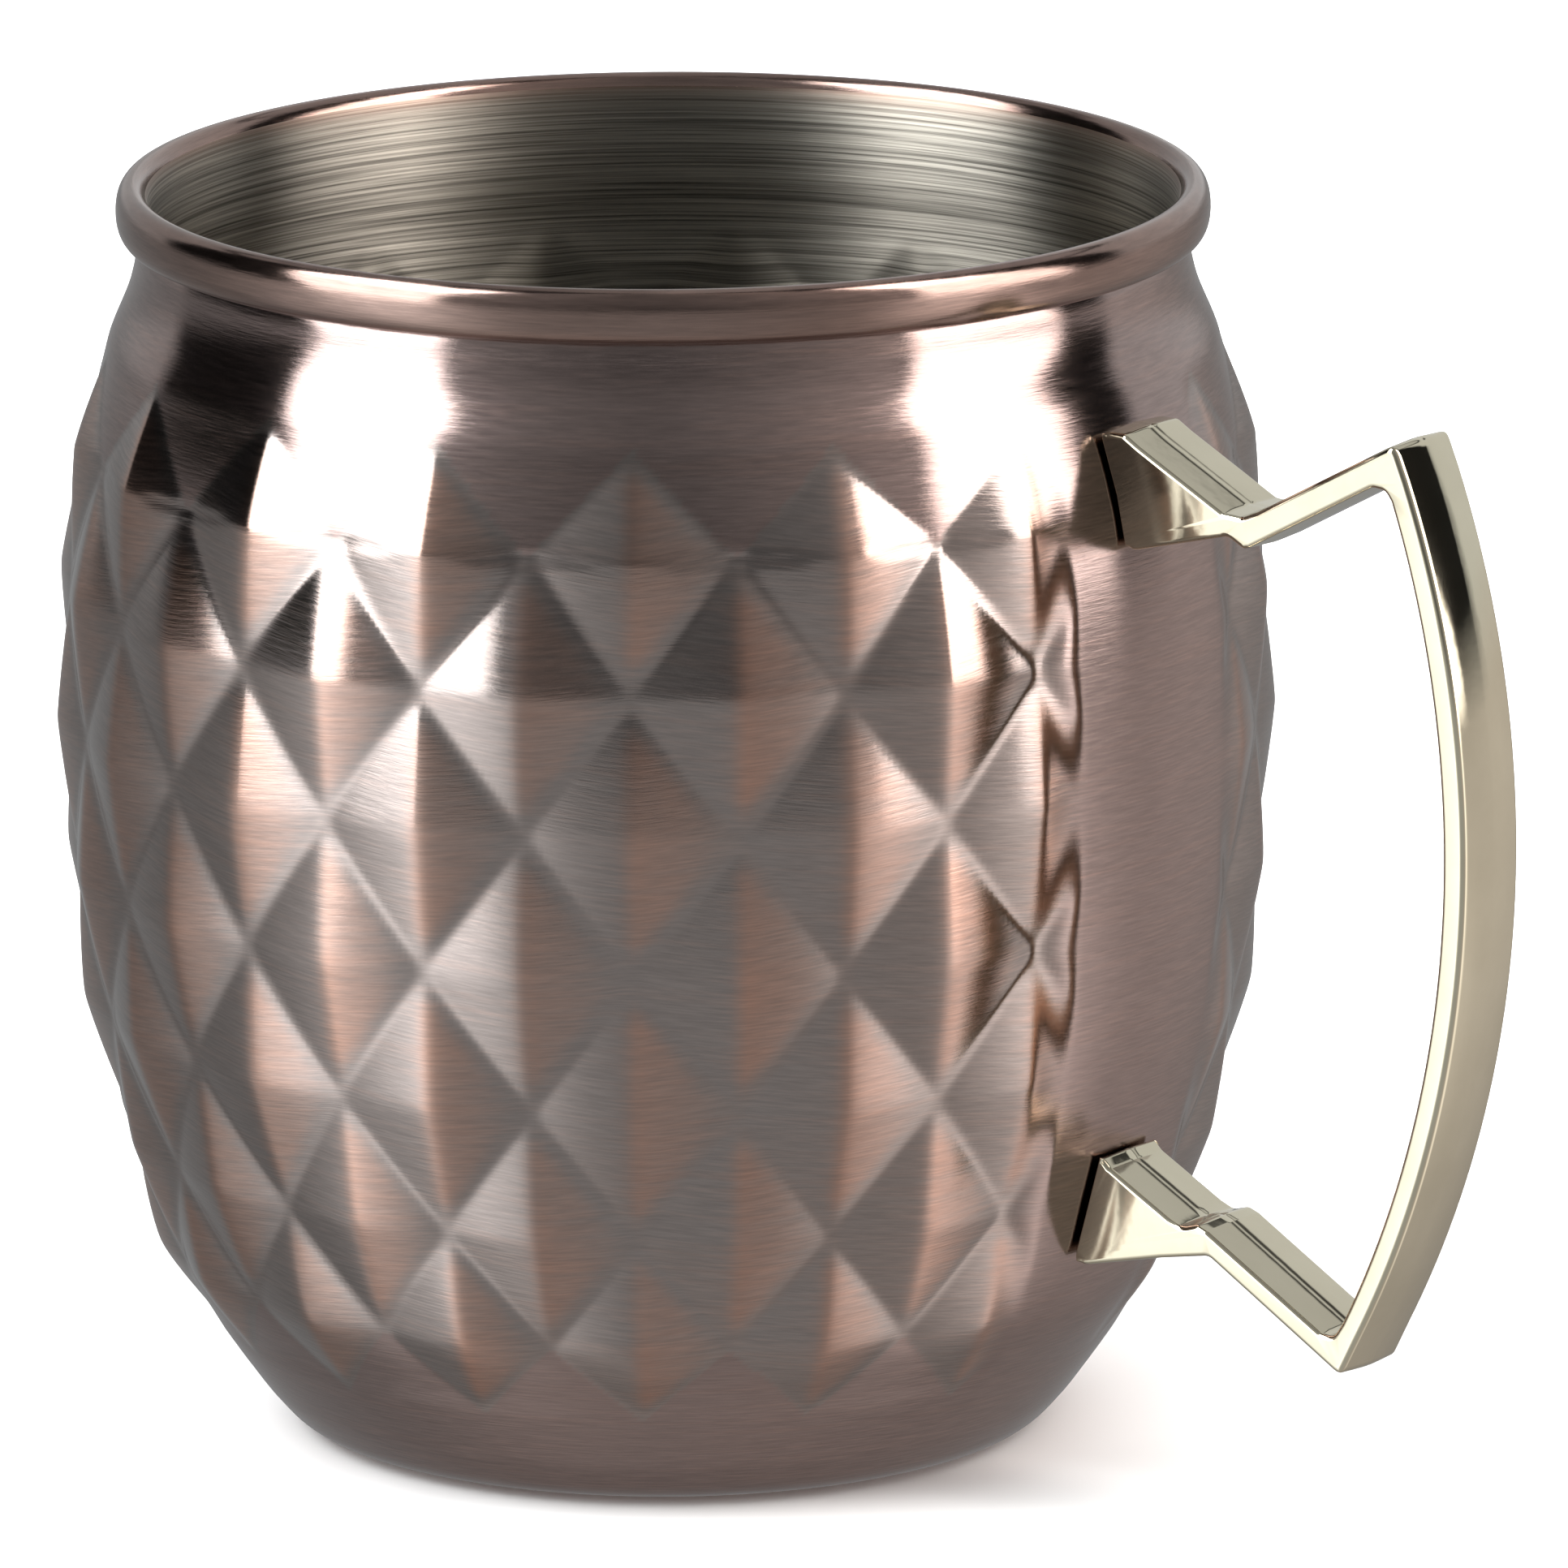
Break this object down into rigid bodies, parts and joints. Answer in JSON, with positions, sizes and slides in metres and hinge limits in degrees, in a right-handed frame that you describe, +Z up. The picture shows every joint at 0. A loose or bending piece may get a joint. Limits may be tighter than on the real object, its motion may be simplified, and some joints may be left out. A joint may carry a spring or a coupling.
{
  "type": "mug",
  "caption": "Barrel-shaped metal drinking mug with an embossed diamond pattern, rolled rim and angular side handle",
  "frame": {"origin": "centre of the flat underside that the mug stands on", "axes": "+Z up along the cup's axis, +X from the axis to the handle, Y across the handle bar"},
  "size_m": [0.1271, 0.0958, 0.0999],
  "materials": {
    "copper_plate": "antique copper plate on brushed stainless steel sheet, bare brushed steel inside",
    "polished_brass": "polished pale brass plate on a cast handle",
    "weld_metal": "dull weld metal"
  },
  "bodies": {
    "root": {"cup_shell": "copper_plate", "handle": "polished_brass", "upper_weld": "weld_metal", "lower_weld": "weld_metal"}
  },
  "joints": []
}
